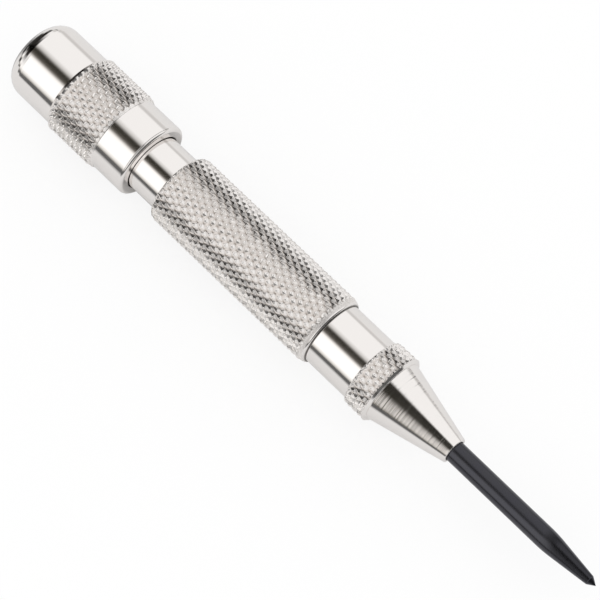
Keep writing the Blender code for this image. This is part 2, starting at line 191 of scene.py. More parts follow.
def knurl_tree():
    """Rolls a band of diamond teeth round the axis and welds it into the open gap of a turned shell."""
    tree, given = new_tree("diamond_knurl", [
        "Start", "Length", "Crest radius", "Depth", "Teeth", "Rows", "Drift",
        "Rear edge", "Rear drop", "Rear fullness", "Rear trim", "Rear run-out",
        "Front edge", "Front drop", "Front fullness", "Front trim", "Front run-out", "Matte",
    ])
    math_node = "ShaderNodeMath"
    columns = add_node(tree, math_node, {0: given["Teeth"], 1: 2 * HALF_DIAMOND_CELLS}, operation="MULTIPLY")
    across = add_node(tree, math_node, {0: columns, 1: 1}, operation="ADD")
    down = add_node(tree, math_node, {0: given["Rows"], 1: 1}, operation="ADD")
    sizes = {"Size X": given["Length"], "Size Y": 1, "Vertices X": down, "Vertices Y": across}
    grid = add_node(tree, "GeometryNodeMeshGrid", sizes)

    # Where a point of the flat grid lies, in rows along the band and columns round it
    flat = add_node(tree, "ShaderNodeSeparateXYZ", {0: add_node(tree, "GeometryNodeInputPosition")})
    along = {0: given["Length"], 1: 0.5, 2: flat.outputs["X"]}
    along = add_node(tree, math_node, along, operation="MULTIPLY_ADD")
    share = add_node(tree, math_node, {0: along, 1: given["Length"]}, operation="DIVIDE")
    row = add_node(tree, math_node, {0: share, 1: given["Rows"]}, operation="MULTIPLY")
    turn = add_node(tree, math_node, {0: flat.outputs["Y"], 1: 0.5}, operation="ADD")
    column = add_node(tree, math_node, {0: turn, 1: columns}, operation="MULTIPLY")

    # Each quad is split along the groove that crosses its block of cells
    row_block = add_node(tree, math_node, {0: row, 1: 1 / HALF_DIAMOND_CELLS}, operation="MULTIPLY")
    column_block = add_node(tree, math_node, {0: column, 1: 1 / HALF_DIAMOND_CELLS}, operation="MULTIPLY")
    row_block = add_node(tree, math_node, {0: row_block}, operation="FLOOR")
    column_block = add_node(tree, math_node, {0: column_block}, operation="FLOOR")
    block = add_node(tree, math_node, {0: row_block, 1: column_block}, operation="ADD")
    crossed = add_node(tree, math_node, {0: block, 1: 1}, operation="PINGPONG")
    split = {"Mesh": grid, "Selection": crossed}
    grid = add_node(tree, "GeometryNodeTriangulate", split, quad_method="FIXED_ALTERNATE")
    grid = add_node(tree, "GeometryNodeTriangulate", {"Mesh": grid}, quad_method="FIXED")

    # Two sets of V grooves cross, and what both leave standing is a four-sided tooth with a rubbed top.
    # Shade is painted where they cross, in the deepest pits
    row = add_node(tree, math_node, {0: row}, operation="ROUND")
    column = add_node(tree, math_node, {0: column}, operation="ROUND")
    one_way = add_node(tree, math_node, {0: row, 1: column}, operation="ADD")
    other_way = add_node(tree, math_node, {0: row, 1: column}, operation="SUBTRACT")
    one_way = add_node(tree, math_node, {0: one_way, 1: HALF_DIAMOND_CELLS}, operation="PINGPONG")
    other_way = add_node(tree, math_node, {0: other_way, 1: HALF_DIAMOND_CELLS}, operation="PINGPONG")
    off_crossing = add_node(tree, math_node, {0: one_way, 1: other_way}, operation="ADD")
    crossing = {"Value": off_crossing, "From Min": CROSSING_SHADE_SPOT * HALF_DIAMOND_CELLS, "From Max": 0}
    crossing_shade = add_node(tree, "ShaderNodeMapRange", crossing)
    tooth = add_node(tree, math_node, {0: one_way, 1: other_way}, operation="MINIMUM")
    tooth = add_node(tree, math_node, {0: tooth, 1: 1 / HALF_DIAMOND_CELLS}, operation="MULTIPLY")
    over = add_node(tree, math_node, {0: tooth, 1: RUBBED_FROM}, operation="SUBTRACT", use_clamp=True)
    rubbed = add_node(tree, math_node, {0: over, 1: over}, operation="MULTIPLY")
    rise = {0: rubbed, 1: -0.5 / (1 - RUBBED_FROM), 2: tooth}
    rise = add_node(tree, math_node, rise, operation="MULTIPLY_ADD")
    under = add_node(tree, math_node, {0: FILLED_TO, 1: tooth}, operation="SUBTRACT", use_clamp=True)
    filled = add_node(tree, math_node, {0: under, 1: under}, operation="MULTIPLY")
    rise = add_node(tree, math_node, {0: filled, 1: 0.5 / FILLED_TO, 2: rise}, operation="MULTIPLY_ADD")
    lowest, highest = FILLED_TO / 2, (1 + RUBBED_FROM) / 2
    height_levels = {"Value": rise, "From Min": highest, "From Max": lowest}
    pit = add_node(tree, "ShaderNodeMapRange", height_levels)

    # The rows drift round the band a little, and the teeth run out at its ends, in front onto a matte land
    drift = add_node(tree, math_node, {0: share, 1: given["Drift"]}, operation="MULTIPLY")
    drift = add_node(tree, math_node, {0: drift, 1: columns}, operation="DIVIDE")
    angle = add_node(tree, math_node, {0: turn, 1: drift}, operation="ADD")
    angle = add_node(tree, math_node, {0: angle, 1: 2 * math.pi}, operation="MULTIPLY")
    sine = add_node(tree, math_node, {0: angle}, operation="SINE")
    cosine = add_node(tree, math_node, {0: angle}, operation="COSINE")
    swing = add_node(tree, math_node, {0: given["Crest radius"], 1: cosine}, operation="MULTIPLY")
    left = add_node(tree, math_node, {0: given["Length"], 1: along}, operation="SUBTRACT")
    for distance, run_out in ((along, given["Rear run-out"]), (left, given["Front run-out"])):
        fade = add_node(tree, math_node, {0: distance, 1: run_out}, operation="DIVIDE", use_clamp=True)
        pit = add_node(tree, math_node, {0: pit, 1: fade}, operation="MULTIPLY")
        crossing_shade = add_node(tree, math_node, {0: crossing_shade, 1: fade}, operation="MULTIPLY")
    matte = add_node(tree, math_node, {0: 1, 1: fade}, operation="SUBTRACT")
    matte = add_node(tree, math_node, {0: matte, 1: given["Matte"]}, operation="MULTIPLY")

    # The wheels press unevenly, so the grooves' depth varies in patches
    spot = add_node(tree, "ShaderNodeCombineXYZ", {"X": along, "Y": swing})
    uneven = add_node(tree, "ShaderNodeTexNoise", {"Vector": spot, "Scale": 1 / DEPTH_PATCH, "Detail": 1})
    share_left = add_node(tree, math_node, {0: uneven, 1: -DEPTH_SCATTER, 2: 1}, operation="MULTIPLY_ADD")
    cut = add_node(tree, math_node, {0: pit, 1: given["Depth"]}, operation="MULTIPLY")
    cut = add_node(tree, math_node, {0: cut, 1: share_left}, operation="MULTIPLY")
    radius = add_node(tree, math_node, {0: given["Crest radius"], 1: cut}, operation="SUBTRACT")

    # The band's two ends are cut down by a chamfer or a rounding
    for end, distance in (("Rear", along), ("Front", left)):
        edge, fullness = given[end + " edge"], given[end + " fullness"]
        inset = add_node(tree, math_node, {0: distance, 1: given[end + " trim"]}, operation="ADD")
        inset = add_node(tree, math_node, {0: inset, 1: edge}, operation="DIVIDE", use_clamp=True)
        inset = add_node(tree, math_node, {0: 1, 1: inset}, operation="SUBTRACT")
        inset = add_node(tree, math_node, {0: inset, 1: fullness}, operation="POWER")
        inset = add_node(tree, math_node, {0: 1, 1: inset}, operation="SUBTRACT")
        root = add_node(tree, math_node, {0: 1, 1: fullness}, operation="DIVIDE")
        height = add_node(tree, math_node, {0: inset, 1: root}, operation="POWER")
        drop = add_node(tree, math_node, {0: 1, 1: height}, operation="SUBTRACT")
        drop = add_node(tree, math_node, {0: drop, 1: given[end + " drop"]}, operation="MULTIPLY")
        limit = add_node(tree, math_node, {0: given["Crest radius"], 1: drop}, operation="SUBTRACT")
        radius = add_node(tree, math_node, {0: radius, 1: limit}, operation="MINIMUM")

    x = add_node(tree, math_node, {0: given["Start"], 1: along}, operation="ADD")
    y = add_node(tree, math_node, {0: radius, 1: sine}, operation="MULTIPLY")
    z = add_node(tree, math_node, {0: radius, 1: cosine, 2: AXIS_HEIGHT}, operation="MULTIPLY_ADD")
    place = add_node(tree, "ShaderNodeCombineXYZ", {"X": x, "Y": y, "Z": z})
    for name, value in (("groove", pit), ("crossing_shade", crossing_shade), ("rolled", 1.0), ("matte", matte)):
        stored = {"Geometry": grid, "Name": name, "Value": value}
        grid = add_node(tree, "GeometryNodeStoreNamedAttribute", stored)
    band = add_node(tree, "GeometryNodeSetPosition", {"Geometry": grid, "Position": place})
    joined = add_node(tree, "GeometryNodeJoinGeometry", {"Geometry": given["Body"]})
    tree.links.new(band.outputs[0], joined.inputs["Geometry"])
    welded = add_node(tree, "GeometryNodeMergeByDistance", {"Geometry": joined, "Distance": WELD_DISTANCE})
    real = add_node(tree, "GeometryNodeRealizeInstances", {"Geometry": welded})

    # Turned corners and the lines between the teeth's flanks stay sharp
    bend = add_node(tree, "GeometryNodeInputMeshEdgeAngle").outputs["Unsigned Angle"]
    corner = add_node(tree, math_node, {0: bend, 1: SHARP_ANGLE}, operation="GREATER_THAN")
    smooth = {"Geometry": real, "Shade Smooth": True}
    smooth = add_node(tree, "GeometryNodeSetShadeSmooth", smooth, domain="FACE")
    sharp = {"Geometry": smooth, "Selection": corner, "Shade Smooth": False}
    sharp = add_node(tree, "GeometryNodeSetShadeSmooth", sharp, domain="EDGE")
    finished = add_node(tree, "GeometryNodeSetMaterial", {"Geometry": sharp, "Material": given["Finish"]})
    add_node(tree, "NodeGroupOutput", {"Piece": finished})
    return tree


def grow(piece, tree, sizes):
    """Runs a geometry tree on a piece with these sizes, and keeps the result as its own plain mesh."""
    modifier = piece.modifiers.new(tree.name, "NODES")
    modifier.node_group = tree
    for socket in tree.interface.items_tree:
        if socket.in_out == "INPUT" and socket.name in sizes:
            modifier[socket.identifier] = sizes[socket.name]
    evaluated = piece.evaluated_get(bpy.context.evaluated_depsgraph_get())
    mesh = bpy.data.meshes.new_from_object(evaluated)
    piece.modifiers.remove(modifier)
    piece.data = mesh


def finish_edges(piece):
    """Shades a piece smooth and keeps its turned corners sharp."""
    piece.data.shade_smooth()
    piece.data.set_sharp_from_angle(angle=SHARP_ANGLE)


def stands_for(piece, node, body):
    """The piece replaces a node of the model and moves with its body."""
    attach(piece, body)
    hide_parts(node)


def linear(hex_colour):
    """An sRGB hex colour as linear red, green, blue and alpha."""
    shares = [int(hex_colour[index:index + 2], 16) / 255 for index in (1, 3, 5)]
    return [s / 12.92 if s <= 0.04045 else ((s + 0.055) / 1.055) ** 2.4 for s in shares] + [1]


def start_metal(name):
    """A new metal with its node tree, its shader's inputs and the place on the piece."""
    material = bpy.data.materials.new(name)
    material.use_nodes = True
    tree = material.node_tree
    inputs = tree.nodes["Principled BSDF"].inputs
    inputs["Metallic"].default_value = 1
    where = add_node(tree, "ShaderNodeTexCoord").outputs["Object"]
    return material, tree, inputs, where


NICKEL = "#f1edea"
SHADED_NICKEL = "#b8afa6"
BORE_SHADE = "#4a4540"
NICKEL_ROUGHNESS = (0.07, 0.13)
ROLLED_ADDS = 0.12
GROOVE_ADDS = 0.06
MATTE_ADDS = 0.45
BORE_ROUGHNESS = 0.5
BORE_FACING = -0.2
HAZE_PATCH = 4.0 * MM
MARK_UNEVENNESS = 0.7
CORNER_SHADE_LINE = (0.16 * MM, 0.06 * MM)
CORNER_SHADE_SHARE = 0.85


def nickel_plate(name, mark_spacing, mark_depth, shaded_corner=None):
    """Bright nickel over turned steel: a warm white mirror, broken by the tool's rings and a faint haze."""
    material, tree, inputs, where = start_metal(name)
    centred = add_node(tree, "ShaderNodeMapping", {"Vector": where, "Location": (0, 0, -AXIS_HEIGHT)})
    split = add_node(tree, "ShaderNodeSeparateXYZ", {0: centred})
    spoke = add_node(tree, "ShaderNodeCombineXYZ", {"Y": split.outputs["Y"], "Z": split.outputs["Z"]})
    reach = add_node(tree, "ShaderNodeVectorMath", {0: spoke}, operation="LENGTH").outputs["Value"]
    feed = add_node(tree, "ShaderNodeMath", {0: split.outputs["X"], 1: reach}, operation="ADD")

    # Rings from the turning tool, drawn coarser than real ones so that they show
    ring_sizes = {"W": feed, "Scale": 1 / mark_spacing, "Detail": 2, "Roughness": MARK_UNEVENNESS}
    rings = add_node(tree, "ShaderNodeTexNoise", ring_sizes, noise_dimensions="1D")
    bump = add_node(tree, "ShaderNodeBump", {"Height": rings, "Strength": 1, "Distance": mark_depth})
    tree.links.new(bump.outputs[0], inputs["Normal"])

    # Haze in patches, duller plating between the knurl's teeth, and painted shade where its grooves cross
    haze_sizes = {"Vector": centred, "Scale": 1 / HAZE_PATCH, "Detail": 3}
    haze = add_node(tree, "ShaderNodeTexNoise", haze_sizes)
    pit = add_node(tree, "ShaderNodeAttribute", attribute_name="groove").outputs["Fac"]
    rolled = add_node(tree, "ShaderNodeAttribute", attribute_name="rolled").outputs["Fac"]
    matte = add_node(tree, "ShaderNodeAttribute", attribute_name="matte").outputs["Fac"]
    rough = {"Value": haze, "To Min": NICKEL_ROUGHNESS[0], "To Max": NICKEL_ROUGHNESS[1]}
    rough = add_node(tree, "ShaderNodeMapRange", rough)
    for share, added in ((rolled, ROLLED_ADDS), (pit, GROOVE_ADDS), (matte, MATTE_ADDS)):
        rough = add_node(tree, "ShaderNodeMath", {0: share, 1: added, 2: rough}, operation="MULTIPLY_ADD")
    crossing_shade = add_node(tree, "ShaderNodeAttribute", attribute_name="crossing_shade").outputs["Fac"]
    shades = {0: crossing_shade, 6: linear(NICKEL), 7: linear(SHADED_NICKEL)}
    colour = add_node(tree, "ShaderNodeMix", shades, data_type="RGBA")

    # A bore faces the axis. Plating hardly reaches it, so it is dull, and it is painted dark brown as the
    # shade inside the bore
    surface = add_node(tree, "ShaderNodeNewGeometry").outputs["Normal"]
    outward = add_node(tree, "ShaderNodeVectorMath", {0: spoke}, operation="NORMALIZE")
    facing = add_node(tree, "ShaderNodeVectorMath", {0: outward, 1: surface}, operation="DOT_PRODUCT")
    facing = facing.outputs["Value"]
    dull_and_shaded = add_node(tree, "ShaderNodeMath", {0: facing, 1: BORE_FACING}, operation="LESS_THAN")

    # A thin dark line of painted shade, dull as well, lies along an inner corner
    if shaded_corner is not None:
        away = {0: split.outputs["X"], 1: shaded_corner}
        away = add_node(tree, "ShaderNodeMath", away, operation="SUBTRACT")
        away = add_node(tree, "ShaderNodeMath", {0: away}, operation="ABSOLUTE")
        line = {"Value": away, "From Min": CORNER_SHADE_LINE[0], "From Max": CORNER_SHADE_LINE[1]}
        line = add_node(tree, "ShaderNodeMapRange", {**line, "To Max": CORNER_SHADE_SHARE})
        dull_and_shaded = add_node(tree, "ShaderNodeMath", {0: dull_and_shaded, 1: line}, operation="MAXIMUM")
    rough = add_node(tree, "ShaderNodeMix", {0: dull_and_shaded, 2: rough, 3: BORE_ROUGHNESS})
    tree.links.new(rough.outputs[0], inputs["Roughness"])
    shades = {0: dull_and_shaded, 6: colour.outputs[2], 7: linear(BORE_SHADE)}
    colour = add_node(tree, "ShaderNodeMix", shades, data_type="RGBA")
    tree.links.new(colour.outputs[2], inputs["Base Color"])
    return material


BARREL_MARK_SPACING = 0.4 * MM
BARREL_MARK_DEPTH = 0.002 * MM
SHADED_CORNER_FROM_GRIP = 0.05 * MM
front_end = barrel_high.x
grip_front = front_end - FRONT_LENGTH
grip_rear = grip_front - GRIP_LENGTH
bush_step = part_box("guide_bush")[0].x - BUSH_STEP
knurl_start = grip_rear + GRIP_REAR_TRIM
knurl_end = grip_front - GRIP_RIM
rear_curve = [GRIP_REAR_TRIM * (step / ARC_STEPS) ** 2 for step in range(ARC_STEPS + 1)]
barrel_outline = turned_outline([
    (knurl_end, GRIP_RIM_RADIUS),
    (grip_front, GRIP_RIM_END_RADIUS, GRIP_RIM_ROUNDING),
    (grip_front, FRONT_RADIUS, BROKEN_EDGE),
    (front_end, FRONT_RADIUS, BROKEN_EDGE),
    (front_end, NOSE_THREAD_RADIUS, BROKEN_EDGE),
    (front_end - NOSE_THREAD_DEPTH, NOSE_THREAD_RADIUS),
    (front_end - NOSE_THREAD_DEPTH, FRONT_BORE_RADIUS),
    (bush_step, FRONT_BORE_RADIUS),
    (bush_step, HAMMER_BORE_RADIUS),
    (barrel_low.x, HAMMER_BORE_RADIUS, BROKEN_EDGE),
    (barrel_low.x, NECK_RADIUS, NECK_END_CHAMFER),
    (grip_rear, NECK_RADIUS, BROKEN_EDGE),
    (grip_rear, GRIP_RADIUS - GRIP_REAR_ROUNDING - BROKEN_EDGE),
]) + [
    Vector((grip_rear + inset, GRIP_RADIUS - edge_drop(inset, GRIP_REAR_ROUNDING, ROUNDED)))
    for inset in rear_curve
]
diamond_knurl = knurl_tree()
cells_per_metre = 2 * HALF_DIAMOND_CELLS / DIAMOND_LENGTH
barrel = turned_shell("barrel_turned", [barrel_outline], 2 * HALF_DIAMOND_CELLS * GRIP_TEETH)
# The barrel's nickel gets a thin line of painted shade in the corner just in front of the grip
barrel_nickel = nickel_plate(
    "nickel_on_turned_barrel", BARREL_MARK_SPACING, BARREL_MARK_DEPTH, grip_front + SHADED_CORNER_FROM_GRIP
)
knurl_length = knurl_end - knurl_start
grow(barrel, diamond_knurl, {
    "Start": knurl_start, "Length": knurl_length, "Crest radius": GRIP_RADIUS, "Depth": KNURL_DEPTH,
    "Teeth": GRIP_TEETH, "Rows": round(knurl_length * cells_per_metre), "Drift": GRIP_DRIFT,
    "Rear edge": GRIP_REAR_ROUNDING, "Rear drop": GRIP_REAR_ROUNDING, "Rear fullness": ROUNDED,
    "Rear trim": GRIP_REAR_TRIM, "Rear run-out": NO_RUN_OUT,
    "Front edge": GRIP_TAPER, "Front drop": GRIP_RADIUS - GRIP_RIM_RADIUS, "Front fullness": CHAMFERED,
    "Front trim": 0.0, "Front run-out": GRIP_RUN_OUT, "Matte": 1.0, "Finish": barrel_nickel,
})
stands_for(barrel, "barrel", "barrel")

# The striking parts sit in the bore: a thrust button, the sliding hammer, the guide bush and the trip pin.
# They are tool steel, turned, hardened and ground, left grey with a film of oil.
GROUND_STEEL = "#9c9c9f"
TEMPERED_STEEL = "#a89a86"
TEMPER_PATCH = 5.0 * MM
STEEL_ROUGHNESS = (0.22, 0.36)
STEEL_MARK_SPACING = 0.15 * MM
STEEL_MARK_DEPTH = 0.002 * MM
STEEL_MARK_STRETCH = (1, 0.1, 0.1)


def hardened_steel(name):
    """Hardened steel as ground: mid grey metal with rings across it and straw patches from tempering."""
    material, tree, inputs, where = start_metal(name)

    # The grinding rings are drawn coarser than real ones so that they show
    stretched = add_node(tree, "ShaderNodeMapping", {"Vector": where, "Scale": STEEL_MARK_STRETCH})
    grinding = {"Vector": stretched, "Scale": 1 / STEEL_MARK_SPACING, "Detail": 4}
    grinding = add_node(tree, "ShaderNodeTexNoise", grinding)
    bump = add_node(tree, "ShaderNodeBump", {"Height": grinding, "Distance": STEEL_MARK_DEPTH})
    tree.links.new(bump.outputs[0], inputs["Normal"])
    rough = {"Value": grinding, "To Min": STEEL_ROUGHNESS[0], "To Max": STEEL_ROUGHNESS[1]}
    rough = add_node(tree, "ShaderNodeMapRange", rough)
    tree.links.new(rough.outputs[0], inputs["Roughness"])
    patches = {"Vector": where, "Scale": 1 / TEMPER_PATCH, "Detail": 2}
    patches = add_node(tree, "ShaderNodeTexNoise", patches)
    shades = {0: patches, 6: linear(GROUND_STEEL), 7: linear(TEMPERED_STEEL)}
    colour = add_node(tree, "ShaderNodeMix", shades, data_type="RGBA")
    tree.links.new(colour.outputs[2], inputs["Base Color"])
    return material


ground_steel = hardened_steel("ground_tool_steel")
for node in ("spring_seat", "hammer", "guide_bush", "trip_pin"):
    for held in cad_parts[node].material_slots:
        held.material = ground_steel

# The two compression springs are round drawn wire, wound cold with a closed turn at each end.
# The main spring drives the hammer from the cap, and the return spring pushes the pin and the point out.
COIL_POINTS = 24
WIRE_SIDES = 14
SPRING_END_GAP = 0.5 * MM
MAIN_DIAMETER = 7.8 * MM
MAIN_WIRE = 1.2 * MM
MAIN_TURNS = 12
SEAT_TURNS = 5
RETURN_DIAMETER = 7.1 * MM
RETURN_WIRE = 0.7 * MM
RETURN_TURNS = 8
DARK_WIRE = "#8f9095"
BRIGHT_WIRE = "#b0aeab"
WIRE_BLOOM = 3.0 * MM
WIRE_ROUGHNESS = (0.2, 0.4)
DIE_MARK_SPACING = 0.3 * MM
DIE_MARK_DEPTH = 0.004 * MM


def spring_tree():
    """Winds a wire along the tool's axis, slowly over its first and last turn and evenly between them."""
    tree, given = new_tree("coil_spring", [
        "Rear", "Length", "Coil radius", "Wire", "Turns", "First turn", "Last turn", "End rise",
    ])
    math_node = "ShaderNodeMath"
    count = add_node(tree, math_node, {0: given["Last turn"], 1: given["First turn"]}, operation="SUBTRACT")
    count = add_node(tree, math_node, {0: count, 1: COIL_POINTS, 2: 1}, operation="MULTIPLY_ADD")
    line = add_node(tree, "GeometryNodeMeshLine", {"Count": count})
    index = add_node(tree, "GeometryNodeInputIndex")
    turn = {0: index, 1: 1 / COIL_POINTS, 2: given["First turn"]}
    turn = add_node(tree, math_node, turn, operation="MULTIPLY_ADD")

    # Turns wound closed so far, at the rear and at the front
    rear_turn = add_node(tree, math_node, {0: turn, 1: 1}, operation="MINIMUM")
    from_front = add_node(tree, math_node, {0: turn, 1: given["Turns"]}, operation="SUBTRACT")
    front_turn = add_node(tree, math_node, {0: from_front, 1: 1}, operation="ADD", use_clamp=True)
    closed = add_node(tree, math_node, {0: rear_turn, 1: front_turn}, operation="ADD")
    open_turns = add_node(tree, math_node, {0: turn, 1: closed}, operation="SUBTRACT")

    # What the closed turns leave of the length is shared by the open ones
    taken = {0: given["End rise"], 1: 2, 2: given["Wire"]}
    taken = add_node(tree, math_node, taken, operation="MULTIPLY_ADD")
    open_length = add_node(tree, math_node, {0: given["Length"], 1: taken}, operation="SUBTRACT")
    open_count = add_node(tree, math_node, {0: given["Turns"], 1: 2}, operation="SUBTRACT")
    open_rise = add_node(tree, math_node, {0: open_length, 1: open_count}, operation="DIVIDE")
    start = add_node(tree, math_node, {0: given["Wire"], 1: 0.5, 2: given["Rear"]}, operation="MULTIPLY_ADD")
    x = add_node(tree, math_node, {0: closed, 1: given["End rise"], 2: start}, operation="MULTIPLY_ADD")
    x = add_node(tree, math_node, {0: open_turns, 1: open_rise, 2: x}, operation="MULTIPLY_ADD")
    angle = add_node(tree, math_node, {0: turn, 1: 2 * math.pi}, operation="MULTIPLY")
    cosine = add_node(tree, math_node, {0: angle}, operation="COSINE")
    sine = add_node(tree, math_node, {0: angle}, operation="SINE")
    y = add_node(tree, math_node, {0: cosine, 1: given["Coil radius"]}, operation="MULTIPLY")
    z = {0: sine, 1: given["Coil radius"], 2: AXIS_HEIGHT}
    z = add_node(tree, math_node, z, operation="MULTIPLY_ADD")
    place = add_node(tree, "ShaderNodeCombineXYZ", {"X": x, "Y": y, "Z": z})
    wound = add_node(tree, "GeometryNodeSetPosition", {"Geometry": line, "Position": place})
    path = add_node(tree, "GeometryNodeMeshToCurve", {"Mesh": wound})
    thickness = add_node(tree, math_node, {0: given["Wire"], 1: 0.5}, operation="MULTIPLY")
    round_wire = {"Resolution": WIRE_SIDES, "Radius": thickness}
    round_wire = add_node(tree, "GeometryNodeCurvePrimitiveCircle", round_wire)
    wire_sizes = {"Curve": path, "Profile Curve": round_wire, "Fill Caps": True}
    wire = add_node(tree, "GeometryNodeCurveToMesh", wire_sizes)
    real = add_node(tree, "GeometryNodeRealizeInstances", {"Geometry": wire})
    finished = add_node(tree, "GeometryNodeSetMaterial", {"Geometry": real, "Material": given["Finish"]})
    add_node(tree, "NodeGroupOutput", {"Piece": finished})
    return tree


def drawn_wire(name):
    """Drawn spring wire: dark grey, half bright steel, mottled by the die, with a blue-grey bloom."""
    material, tree, inputs, where = start_metal(name)

    # The die's marks are drawn coarser than real ones so that they show
    marks = {"Vector": where, "Scale": 1 / DIE_MARK_SPACING, "Detail": 4}
    marks = add_node(tree, "ShaderNodeTexNoise", marks)
    bump = add_node(tree, "ShaderNodeBump", {"Height": marks, "Distance": DIE_MARK_DEPTH})
    tree.links.new(bump.outputs[0], inputs["Normal"])
    rough = {"Value": marks, "To Min": WIRE_ROUGHNESS[0], "To Max": WIRE_ROUGHNESS[1]}
    rough = add_node(tree, "ShaderNodeMapRange", rough)
    tree.links.new(rough.outputs[0], inputs["Roughness"])
    bloom = {"Vector": where, "Scale": 1 / WIRE_BLOOM, "Detail": 2}
    bloom = add_node(tree, "ShaderNodeTexNoise", bloom)
    shades = {0: bloom, 6: linear(DARK_WIRE), 7: linear(BRIGHT_WIRE)}
    colour = add_node(tree, "ShaderNodeMix", shades, data_type="RGBA")
    tree.links.new(colour.outputs[2], inputs["Base Color"])
    return material


coil_spring = spring_tree()
spring_wire = drawn_wire("drawn_spring_wire")


def wind(name, node, diameter, wire, turns, first, last):
    """The turns from first to last of a spring that fills a node's place."""
    low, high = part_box(node)
    spring = bpy.data.objects.new(name, bpy.data.meshes.new(name))
    bpy.context.scene.collection.objects.link(spring)
    grow(spring, coil_spring, {
        "Rear": low.x, "Length": high.x - low.x, "Coil radius": (diameter - wire) / 2, "Wire": wire,
        "Turns": turns, "First turn": first, "Last turn": last, "End rise": wire + SPRING_END_GAP,
        "Finish": spring_wire,
    })
    finish_edges(spring)
    return spring


# The hammer presses the main spring from the front and the seat from the rear, so each has its own turns
main_sizes = ("main_spring", MAIN_DIAMETER, MAIN_WIRE, MAIN_TURNS)
hammer_turns = wind("main_spring_front", *main_sizes, SEAT_TURNS, MAIN_TURNS)
stands_for(hammer_turns, "main_spring", "barrel")
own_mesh(hammer_turns)
seat_turns = wind("main_spring_rear", *main_sizes, 0, SEAT_TURNS)
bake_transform(seat_turns)
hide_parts("main_spring")

return_sizes = ("return_spring", RETURN_DIAMETER, RETURN_WIRE, RETURN_TURNS)
return_spring = wind("return_spring_wound", *return_sizes, 0, RETURN_TURNS)
stands_for(return_spring, "return_spring", "barrel")
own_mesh(return_spring)

# The nose screws into the barrel and closes on the point's head. It is turned in one with its knurled ring.
# The same bright nickel covers it, over the coarser rings that the form tool left on its cone.
NOSE_SEAM = 0.04 * MM
NOSE_RING_LENGTH = 4.7 * MM
NOSE_RING_RADIUS = 6.5 * MM
NOSE_RING_REAR_CHAMFER = 0.3 * MM
NOSE_RING_FRONT_CHAMFER = 0.42 * MM
NOSE_RING_RUN_OUT = 0.3 * MM
NOSE_RING_TEETH = 31
NOSE_RING_EDGE = 0.08 * MM
CONE_ROOT_EDGE = 0.05 * MM
CONE_BASE_RADIUS = 5.775 * MM
CONE_END_RADIUS = 2.4 * MM
CONE_END_ROUNDING = 0.12 * MM
NOSE_MOUTH_EDGE = 0.08 * MM
NOSE_SPIGOT_RADIUS = 4.9 * MM
NOSE_SPIGOT_ROOT = 0.05 * MM
NOSE_REAR_BORE_RADIUS = 3.75 * MM
HEAD_BORE_RADIUS = 2.9 * MM
POINT_GUIDE_RADIUS = 1.93 * MM
POINT_GUIDE_LENGTH = 7.0 * MM
HEAD_ROOM = 1.8 * MM
NOSE_MARK_SPACING = 0.3 * MM
NOSE_MARK_DEPTH = 0.0135 * MM
nose_low, nose_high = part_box("nose")
point_low, point_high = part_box("punch_point")
ring_rear = front_end + NOSE_SEAM
ring_front = front_end + NOSE_RING_LENGTH
ring_knurl_end = ring_front - NOSE_RING_FRONT_CHAMFER
nose_outline = turned_outline([
    (ring_knurl_end, NOSE_RING_RADIUS),
    (ring_front, NOSE_RING_RADIUS - NOSE_RING_FRONT_CHAMFER, NOSE_RING_EDGE),
    (ring_front, CONE_BASE_RADIUS, CONE_ROOT_EDGE),
    (nose_high.x, CONE_END_RADIUS, CONE_END_ROUNDING),
    (nose_high.x, POINT_GUIDE_RADIUS, NOSE_MOUTH_EDGE),
    (nose_high.x - POINT_GUIDE_LENGTH, POINT_GUIDE_RADIUS),
    (nose_high.x - POINT_GUIDE_LENGTH, HEAD_BORE_RADIUS),
    (point_low.x - HEAD_ROOM, HEAD_BORE_RADIUS),
    (point_low.x - HEAD_ROOM, NOSE_REAR_BORE_RADIUS),
    (nose_low.x, NOSE_REAR_BORE_RADIUS, BROKEN_EDGE),
    (nose_low.x, NOSE_SPIGOT_RADIUS, NECK_END_CHAMFER),
    (ring_rear, NOSE_SPIGOT_RADIUS, NOSE_SPIGOT_ROOT),
    (ring_rear, NOSE_RING_RADIUS - NOSE_RING_REAR_CHAMFER),
])
nose = turned_shell("nose_turned", [nose_outline], 2 * HALF_DIAMOND_CELLS * NOSE_RING_TEETH)
ring_length = ring_knurl_end - ring_rear
grow(nose, diamond_knurl, {
    "Start": ring_rear, "Length": ring_length, "Crest radius": NOSE_RING_RADIUS, "Depth": KNURL_DEPTH,
    "Teeth": NOSE_RING_TEETH, "Rows": round(ring_length * cells_per_metre), "Drift": 0.0,
    "Rear edge": NOSE_RING_REAR_CHAMFER, "Rear drop": NOSE_RING_REAR_CHAMFER, "Rear fullness": CHAMFERED,
    "Rear trim": 0.0, "Rear run-out": NOSE_RING_REAR_CHAMFER,
    "Front edge": NOSE_RING_FRONT_CHAMFER, "Front drop": 0.0, "Front fullness": CHAMFERED,
    "Front trim": 0.0, "Front run-out": NOSE_RING_RUN_OUT, "Matte": 0.0,
    "Finish": nickel_plate("nickel_on_turned_nose", NOSE_MARK_SPACING, NOSE_MARK_DEPTH),
})
stands_for(nose, "nose", "barrel")

